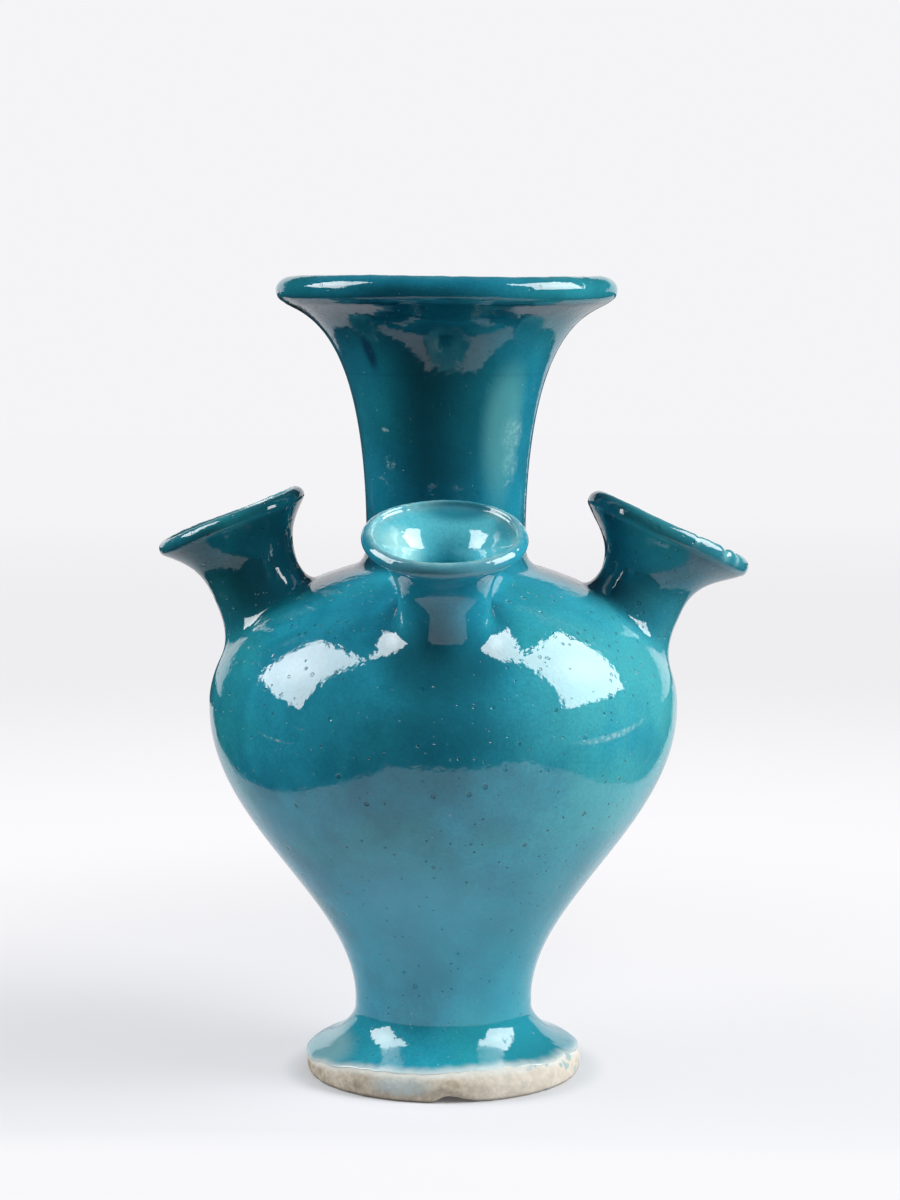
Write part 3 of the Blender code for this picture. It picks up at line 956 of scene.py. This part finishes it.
def glaze_skin():
    """Height of the glaze in millimetres: slow waves, ripples, fine orange peel and pinholes."""
    group, given, made = new_group(
        "glaze_skin",
        [("Wave", "NodeSocketFloat", 1.0), ("Pinholes", "NodeSocketFloat", 1.0)],
        [("Height", "NodeSocketFloat"), ("Pits", "NodeSocketFloat")])
    place = place_of(group)
    swell, ripple, dimple, peel = (times(cloud(place, fineness, detail), height)
                                   for fineness, detail, height in SKIN_WAVES)
    waves = sums("ADD", sums("ADD", swell, ripple), sums("ADD", dimple, peel))
    waves = times(waves, given["Wave"])
    parts = parts_of(place)
    aside = ramp(sums("ABSOLUTE", parts["X"]), 0.024, 0.032, 0.20, 0.29)
    widest = ramp(parts["Z"], 0.112, 0.130, 0.21, aside)
    pinholes = holes_in(place, PINHOLE_FINENESS, 0, 0.3, widest, 0.08)
    crowd = ramp(cloud(place, 36, 2), 0.5, 0.62)
    rarity = sums("MULTIPLY_ADD", crowd, -0.35, 0.65)
    pocks = holes_in(place, POCK_FINENESS, 1, rarity, 0.23, 0.09, 0.7)
    pits = times(sums("MAXIMUM", pinholes, pocks), given["Pinholes"])
    # The painted shade in the pinholes is weaker up on the dome.
    pit_shade = ramp(parts["Z"], 0.085, 0.115, 1.0, 0.4)
    group.links.new(sums("MULTIPLY_ADD", pits, -PIT_DEPTH, waves), made["Height"])
    group.links.new(times(pits, pit_shade), made["Pits"])
    return group


def mark_mask():
    """A blotch, or a bent streak broken into strokes, at a place on the glaze."""
    group, given, made = new_group(
        "mark",
        [("Centre", "NodeSocketVector", (0, 0, 0)), ("Turn", "NodeSocketVector", (0, 0, 0)),
         ("Size", "NodeSocketVector", (1, 1, 1)), ("Bend", "NodeSocketFloat", 0.0),
         ("Broken", "NodeSocketFloat", 0.0), ("Strength", "NodeSocketFloat", 1.0)],
        [("Mask", "NodeSocketFloat")])
    place = place_of(group)
    laid = add(group, "ShaderNodeMapping", {"Vector": place, "Location": given["Centre"],
                                            "Rotation": given["Turn"], "Scale": given["Size"]},
               vector_type="TEXTURE").outputs[0]
    parts = parts_of(laid)
    square = times(parts["X"], parts["X"])
    rise = sums("MULTIPLY_ADD", square, given["Bend"], parts["Z"])
    bent = add(group, "ShaderNodeCombineXYZ", {0: parts["X"], 1: parts["Y"], 2: rise}).outputs[0]
    away = add(group, "ShaderNodeVectorMath", {0: bent}, operation="LENGTH").outputs["Value"]
    patch = ramp(away, 0.35, 1.0, 1.0, 0.0)
    strokes = ramp(cloud(place, 620, 4, 0.7), 0.47, 0.6)
    gaps = times(given["Broken"], sums("SUBTRACT", 1.0, strokes))
    strokes = sums("SUBTRACT", 1.0, gaps)
    mask = times(times(patch, strokes), given["Strength"])
    group.links.new(mask, made["Mask"])
    return group


def marked(tree, shared, colour, marks):
    """A colour with marks on it."""
    for mark in marks:
        node = add(tree, "ShaderNodeGroup", node_tree=shared.mark)
        for socket in ("Centre", "Turn", "Size", "Bend", "Broken", "Strength"):
            node.inputs[socket].default_value = getattr(mark, socket.lower())
        colour = blend(node.outputs["Mask"], colour, mark.colour)
    return colour


def lay_glaze(tree, shared, pits, glaze):
    """Colour of a glaze, from how it lies on the piece."""
    tone = add(tree, "ShaderNodeGroup", {"Pits": pits}, node_tree=shared.tone)
    for socket in ("Deep", "Middle", "Light", "Pale", "Within"):
        tone.inputs[socket].default_value = getattr(glaze, socket.lower())
    for socket in ("Thin", "Inside", "Pool"):
        tree.links.new(laid_on(tree, socket.lower()), tone.inputs[socket])
    return tone.outputs["Colour"]


def glaze_material(name, shared, glaze, pinholes=1.0, wave=1.0, marks=(), joined=None,
                   joined_marks=()):
    """Glossy turquoise glaze over pale clay, running into a second glaze where a piece joins on."""
    material = bpy.data.materials.new(name)
    material.use_nodes = True
    tree = material.node_tree
    surface = tree.nodes["Principled BSDF"]
    surface.inputs["IOR"].default_value = GLAZE_IOR
    surface.inputs["Roughness"].default_value = GLAZE_ROUGHNESS
    skin = add(tree, "ShaderNodeGroup", {"Pinholes": pinholes, "Wave": wave},
               node_tree=shared.skin).outputs
    colour = lay_glaze(tree, shared, skin["Pits"], glaze)
    if joined:
        other = lay_glaze(tree, shared, skin["Pits"], joined)
        other = marked(tree, shared, other, joined_marks)
        colour = blend(laid_on(tree, "join"), colour, other)
    tree.links.new(marked(tree, shared, colour, marks), surface.inputs["Base Color"])
    bump = add(tree, "ShaderNodeBump", {"Height": skin["Height"], "Strength": 1.0,
                                        "Distance": MILLIMETRE})
    tree.links.new(bump.outputs[0], surface.inputs["Normal"])
    return material


def foot_material(shared):
    """The same glaze, paling to a white line above bare, stained clay."""
    material = glaze_material("foot_glaze", shared, FOOT_GLAZE, pinholes=0.3, marks=FOOT_MARKS)
    tree = material.node_tree
    surface = tree.nodes["Principled BSDF"]
    place = place_of(tree)
    parts = parts_of(place)
    glazed = surface.inputs["Base Color"].links[0].from_socket
    skin_height = surface.inputs["Normal"].links[0].from_node.inputs["Height"]
    glaze_height = skin_height.links[0].from_socket
    bare = laid_on(tree, "bare")
    fray = sums("MULTIPLY_ADD", cloud(place, 420, 3), 0.12, -0.06)
    frayed = sums("ADD", bare, fray)
    clay = ramp(frayed, 0.485, 0.525)
    white_line = times(ramp(frayed, 0.20, 0.50), 0.9)
    dust = ramp(cloud(place, 520, 3, 0.6), 0.3, 0.7)
    buff = blend(dust, DARK_BUFF, PALE_BUFF)
    stains = ramp(cloud(place, 105, 4, 0.65), 0.44, 0.66, 0.0,
                  ramp(parts["X"], *CLAY_TO_RIGHT, 0.7, 0.3))
    buff = blend(stains, buff, CLAY_STAIN)
    paler = ramp(parts["X"], *CLAY_TO_RIGHT, 0.0, 0.4)
    buff = blend(paler, buff, PALE_CLAY)
    buff = marked(tree, shared, buff, CLAY_MARKS)
    washed = sums("MULTIPLY_ADD", cloud(place, 150, 3, 0.65), 0.5, -0.25)
    slip = ramp(sums("ADD", bare, washed), 0.52, 0.88, 0.95, 0.0)
    buff = blend(slip, buff, GREY_SLIP)
    tint = ramp(cloud(place, 240, 2), 0.56, 0.64, 0.0, 0.6)
    tint = times(tint, ramp(parts["X"], 0.016, 0.034))
    buff = blend(tint, buff, BLUE_STAIN)
    # Darker towards the bottom edge.
    darker_to_bottom = ramp(parts["Z"], 0.0002, 0.0013, 0.45, 1.0)
    buff = blend(1.0, buff, darker_to_bottom, "MULTIPLY")
    colour = blend(white_line, glazed, GLAZE_LINE)
    colour = blend(clay, colour, buff)
    tree.links.new(colour, surface.inputs["Base Color"])
    roughness = ramp(clay, 0, 1, GLAZE_ROUGHNESS, CLAY_ROUGHNESS)
    tree.links.new(roughness, surface.inputs["Roughness"])
    grit = times(cloud(place, 900, 3, 0.7), GRIT)
    height = add(tree, "ShaderNodeMix", {0: clay, 2: glaze_height, 3: grit}, data_type="FLOAT")
    tree.links.new(height.outputs[0], skin_height)
    return material


def make_vase():
    shared = Shared(glaze_tone(), glaze_skin(), mark_mask())
    body = glaze_material("body_glaze", shared, BODY_GLAZE, marks=BODY_MARKS)
    neck = glaze_material("neck_glaze", shared, NECK_GLAZE, pinholes=0.3, marks=NECK_MARKS)
    spouts = glaze_material("spout_glaze", shared, SHADED_SPOUT_GLAZE, pinholes=0.6, marks=SPOUT_MARKS)
    front = glaze_material("front_spout_glaze", shared, FRONT_GLAZE, pinholes=0.15, wave=0.5,
                           marks=BODY_MARKS + FRONT_MARKS)
    neck_joint = glaze_material("neck_joint_glaze", shared, BODY_GLAZE, pinholes=0.6,
                                joined=NECK_GLAZE)
    spout_joint = glaze_material("spout_joint_glaze", shared, BODY_GLAZE, pinholes=0.6,
                                 joined=SHADED_SPOUT_GLAZE, joined_marks=SPOUT_MARKS)
    front_joint = glaze_material("front_joint_glaze", shared, BODY_GLAZE, pinholes=0.6,
                                 joined=FRONT_GLAZE, marks=BODY_MARKS)
    make_foot(foot_material(shared))
    waist_heights = [WAIST_HEIGHT + share * HALF_JOINT for share in (-1, 0, 1)]
    make_band("foot_seam", [(waist_reach(height), height) for height in waist_heights], body,
              lambda place, edge: waist_facing(place))
    make_lower_body(body)
    belly = [(BODY_RADIUS, BELLY_HEIGHT - HALF_JOINT), (BODY_RADIUS, BELLY_HEIGHT),
             dome_curve(0, HALF_JOINT, NECK_RADIUS, 2)[0]]
    make_band("body_seam", belly, body,
              lambda place, edge: dome_facing(place) if edge == TOP_EDGE else side_facing(place))
    make_shoulder(body)
    make_trumpet("neck", NECK, NECK_FRAME, BODY_SEGMENTS, NECK_STRAY, (), neck)
    make_cove("neck_seam", NECK_RADIUS, NECK_COVE, NECK_FRAME, BODY_SEGMENTS, neck_joint)
    for spout in SPOUTS:
        name = "spout_" + spout.name
        placement = spout_frame(spout)
        glaze, joint = (front, front_joint) if spout.name == "front" else (spouts, spout_joint)
        make_trumpet(name, spout.trumpet, placement, SPOUT_SEGMENTS, spout.stray, spout.chips,
                     glaze)
        make_cove(name + "_seam", spout.trumpet.tube_radius, spout.cove, placement,
                  SPOUT_SEGMENTS, joint)


# ---------------------------------------------------------------- table, light and camera

TABLE_RADIUS = 4.0
TABLE_SEGMENTS = 64
PAPER = rgba(0.74, 0.75, 0.79)
BACKDROP_WHITE = rgba(0.985, 0.98, 1.0)
UNLIT = rgba(0.02, 0.02, 0.02)
# Fades over the table: from and to where, and the values there
FAR_GREY = (1.3, 2.4, 0.87, 0.92)
NEAR_WHITE = (0.35, 1.0, 0.985, 0.87)
MIRRORED = (0.3, 0.8, 0.12, 0.85)
CONTACT = (0.042, 0.053, 0.12, 1.0)
IN_FRONT = (-0.10, -0.03, 0.88, 0.0)
SHADOW_FILL = (-0.02, 0.08, 0.53, 0.78)
SHADOW_REACH = (0.12, 0.42)
# The sheet as the glaze mirrors it: its ends, and the half widths and splays of each side
SHEET_FRONT = -0.246
SHEET_END_LEFT = 0.85
SHEET_END_RIGHT = 1.85
SHEET_SIDES = (
    (-1.0, ((0.178, 0.28), (0.128, 0.40))),
    (1.0, ((0.195, 0.06), (0.152, 0.42))),
)
SHEET_SOFTNESS = 0.006
# The backdrop: its top, how that falls aside, where its left and right ends fade, its levels
BACKDROP_TOP = 0.47
BACKDROP_LEVEL_TO = 0.27
BACKDROP_FALL = 0.62
BACKDROP_SOFTNESS = 0.02
BACKDROP_LEFT = (0.76, 0.82)
BACKDROP_RIGHT = (0.56, 1.72)
BACKDROP_LIGHT = 0.92
BACKDROP_SEEN = 0.925
ROOM_LIGHT = 0.03
LAMP_TARGET = Vector((0, 0, 0.12))
LAMP_WIDTH = 0.50
LAMP_HEIGHT = 0.75
GLOW_MIDDLE = 1.25
GLOW_REACH = 0.3
CAMERA_PLACE = (0.0021, -0.894, 0.2458)
CAMERA_TILT = radians(90 - 6.16)
CAMERA_LENS = 86.16
CAMERA_SENSOR = 36


class Softbox(NamedTuple):
    """Ways to the corners of a softbox, the shift of its throw, its power and reflected glow."""
    name: str
    corners: tuple
    throw_shift: tuple
    power: float
    glow: float


SOFTBOXES = (
    Softbox("left_softbox", corners=((-0.88, 0.31, 0.36), (-0.57, 0.22, 0.79),
                                     (-0.48, -0.23, 0.85), (-0.94, -0.31, 0.16)),
            throw_shift=(0, 0, 0), power=8.5, glow=7.8),
    Softbox("right_softbox", corners=((0.44, -0.23, 0.87), (0.52, 0.31, 0.80),
                                      (0.94, 0.19, 0.28), (0.84, -0.48, 0.24)),
            throw_shift=(0, -0.16, -0.2), power=13.1, glow=8.5),
)


def stage_material(name):
    """A material without a surface yet, its node tree and the socket for its surface."""
    material = bpy.data.materials.new(name)
    material.use_nodes = True
    tree = material.node_tree
    tree.nodes.remove(tree.nodes["Principled BSDF"])
    return material, tree, tree.nodes["Material Output"].inputs["Surface"]


def glowing(tree, colour, strength=1.0):
    return add(tree, "ShaderNodeEmission", {"Color": colour, "Strength": strength}).outputs[0]


def make_table():
    """A flat sheet of white paper under the vase; the white backdrop is the room's."""
    shape = bmesh.new()
    bmesh.ops.create_circle(shape, cap_ends=True, radius=TABLE_RADIUS, segments=TABLE_SEGMENTS)
    mesh = mesh_of("table", shape)
    material, tree, surface = stage_material("table_top")
    place = place_of(tree)
    parts = parts_of(place)
    reach = add(tree, "ShaderNodeVectorMath", {0: place}, operation="LENGTH").outputs["Value"]
    rays = add(tree, "ShaderNodeLightPath").outputs
    seen, mirrored = rays["Is Camera Ray"], rays["Is Glossy Ray"]
    paper = add(tree, "ShaderNodeBsdfDiffuse", {"Color": PAPER}).outputs[0]
    level = sums("MAXIMUM", ramp(reach, *FAR_GREY), ramp(reach, *NEAR_WHITE))
    far = glowing(tree, BACKDROP_WHITE, level)
    shadow_fill = ramp(parts["X"], *SHADOW_FILL)
    fade = sums("MAXIMUM", ramp(reach, *SHADOW_REACH, shadow_fill, 1.0),
                ramp(parts["Y"], *IN_FRONT))
    fade = times(fade, ramp(reach, *CONTACT))
    fade = times(fade, seen)
    fade = sums("MULTIPLY_ADD", mirrored, ramp(reach, *MIRRORED), fade)
    right_side = sums("GREATER_THAN", parts["X"], 0.0)
    end = sums("MULTIPLY_ADD", right_side, SHEET_END_RIGHT - SHEET_END_LEFT, SHEET_END_LEFT)
    beyond = sums("SUBTRACT", SHEET_FRONT, parts["Y"])
    for outward, edges in SHEET_SIDES:
        widths = [sums("MULTIPLY_ADD", parts["Y"], splay, width) for width, splay in edges]
        aside = times(parts["X"], outward)
        past = sums("SUBTRACT", aside, sums("MAXIMUM", *widths))
        beyond = sums("MAXIMUM", beyond, past)
    beyond = sums("MAXIMUM", beyond, sums("SUBTRACT", parts["Y"], end))
    beyond = ramp(beyond, -SHEET_SOFTNESS, SHEET_SOFTNESS)
    beyond = times(beyond, sums("SUBTRACT", 1.0, seen))
    top = add(tree, "ShaderNodeMixShader", {0: fade, 1: paper, 2: far}).outputs[0]
    top = add(tree, "ShaderNodeMixShader", {0: beyond, 1: top, 2: glowing(tree, UNLIT)}).outputs[0]
    tree.links.new(top, surface)
    mesh.materials.append(material)
    table = put("table", mesh)


def make_softbox(softbox):
    """A softbox a metre away: a lamp for the light it throws, and a card for its reflection."""
    ways = [Vector(corner).normalized() for corner in softbox.corners]
    away = sum(ways, Vector()).normalized()
    lamp = bpy.data.lights.new(softbox.name + "_lamp", "AREA")
    lamp.shape = "RECTANGLE"
    lamp.size, lamp.size_y = LAMP_WIDTH, LAMP_HEIGHT
    lamp.energy = softbox.power
    light = put(softbox.name + "_lamp", lamp)
    throw = (away + Vector(softbox.throw_shift)).normalized()
    light.matrix_world = (Matrix.Translation(LAMP_TARGET + throw)
                          @ throw.to_track_quat("Z", "Y").to_matrix().to_4x4())
    light.visible_glossy = False
    light.visible_camera = False
    shape = bmesh.new()
    made = bmesh.ops.create_circle(shape, cap_ends=True, radius=1, segments=len(ways))
    for corner, way in zip(made["verts"], ways):
        corner.co = LAMP_TARGET + way / way.dot(away)
    mesh = mesh_of(softbox.name, shape)
    material, tree, surface = stage_material(softbox.name)
    off_middle = add(tree, "ShaderNodeVectorMath", {0: place_of(tree), 1: LAMP_TARGET + away},
                     operation="DISTANCE").outputs["Value"]
    strength = ramp(off_middle, 0.0, GLOW_REACH, softbox.glow * GLOW_MIDDLE, softbox.glow)
    tree.links.new(glowing(tree, rgba(1, 1, 1), strength), surface)
    mesh.materials.append(material)
    card = put(softbox.name, mesh)
    card.visible_camera = False
    card.visible_diffuse = False
    card.visible_shadow = False
    card.visible_transmission = False


def make_room():
    """A white backdrop behind the table, lower towards its sides, and a dim room elsewhere."""
    world = bpy.data.worlds.new("room")
    bpy.context.scene.world = world
    world.use_nodes = True
    tree = world.node_tree
    tree.nodes.clear()
    way = parts_of(add(tree, "ShaderNodeTexCoord").outputs["Generated"])
    seen = add(tree, "ShaderNodeLightPath").outputs["Is Camera Ray"]
    ahead = sums("MAXIMUM", way["Y"], 0.001)
    aside = sums("DIVIDE", sums("ABSOLUTE", way["X"]), ahead)
    height = sums("DIVIDE", way["Z"], ahead)
    past = sums("MAXIMUM", sums("SUBTRACT", aside, BACKDROP_LEVEL_TO), 0.0)
    slope = times(past, BACKDROP_FALL)
    over = sums("SUBTRACT", sums("ADD", height, slope), BACKDROP_TOP)
    low = ramp(over, -BACKDROP_SOFTNESS, BACKDROP_SOFTNESS, 1.0, 0.0)
    right_side = sums("GREATER_THAN", way["X"], 0.0)
    ends = [sums("MULTIPLY_ADD", right_side, right - left, left)
            for left, right in zip(BACKDROP_LEFT, BACKDROP_RIGHT)]
    narrow = ramp(aside, *ends, 1.0, 0.0)
    level = ramp(times(low, narrow), 0, 1, ROOM_LIGHT, BACKDROP_LIGHT)
    shade = sums("MAXIMUM", level, times(seen, BACKDROP_SEEN))
    room = add(tree, "ShaderNodeBackground", {"Color": BACKDROP_WHITE, "Strength": shade})
    output = add(tree, "ShaderNodeOutputWorld")
    tree.links.new(room.outputs[0], output.inputs["Surface"])


def make_camera():
    data = bpy.data.cameras.new("camera")
    data.sensor_fit = "VERTICAL"
    data.sensor_height = CAMERA_SENSOR
    data.lens = CAMERA_LENS
    camera = put("camera", data)
    camera.location = CAMERA_PLACE
    camera.rotation_euler = (CAMERA_TILT, 0, 0)
    bpy.context.scene.camera = camera


make_camera()
make_vase()
make_table()
for softbox in SOFTBOXES:
    make_softbox(softbox)
make_room()
bpy.context.scene.view_settings.view_transform = "Standard"
